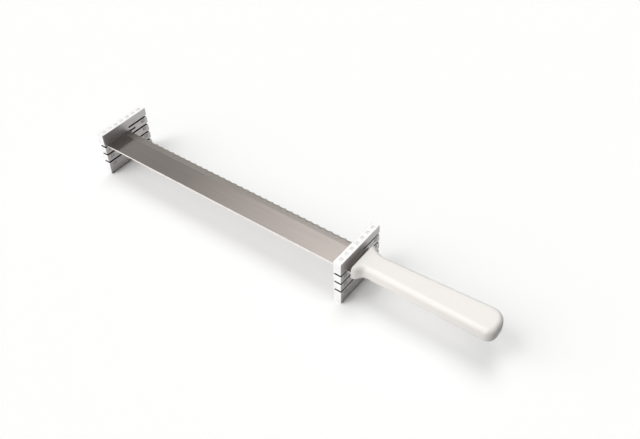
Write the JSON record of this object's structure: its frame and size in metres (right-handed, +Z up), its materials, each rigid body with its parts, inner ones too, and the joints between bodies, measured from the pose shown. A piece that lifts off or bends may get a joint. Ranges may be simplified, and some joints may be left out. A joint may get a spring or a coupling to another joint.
{
  "type": "cake layer slicer",
  "caption": "Long serrated cake knife with a moulded handle, held level in slotted guide blocks that slide along the blade and set the thickness of each cut layer.",
  "frame": {"origin": "on the table under the middle of the whole object's box, with the guides at rest at the handle and at the tip", "axes": "+X along the blade from the tip to the handle's butt, +Y across the blade from the spine to the teeth, +Z up"},
  "size_m": [0.447, 0.0658, 0.05],
  "materials": {
    "blade_steel": "long-grain satin polish",
    "handle_plastic": "satin, moulded",
    "guide_metal": "satin, fine-milled"
  },
  "bodies": {
    "knife": {"blade": "blade_steel", "handle": "handle_plastic"},
    "near_guide": {"near_guide": "guide_metal"},
    "far_guide": {"far_guide": "guide_metal"}
  },
  "joints": [
    {"name": "near_guide_slide", "type": "slide", "parent": "knife", "child": "near_guide", "axis": [-1, 0, 0], "range_m": [-0.0045, 0.145]},
    {"name": "far_guide_slide", "type": "slide", "parent": "knife", "child": "far_guide", "axis": [1, 0, 0], "range_m": [0, 0.145]}
  ]
}
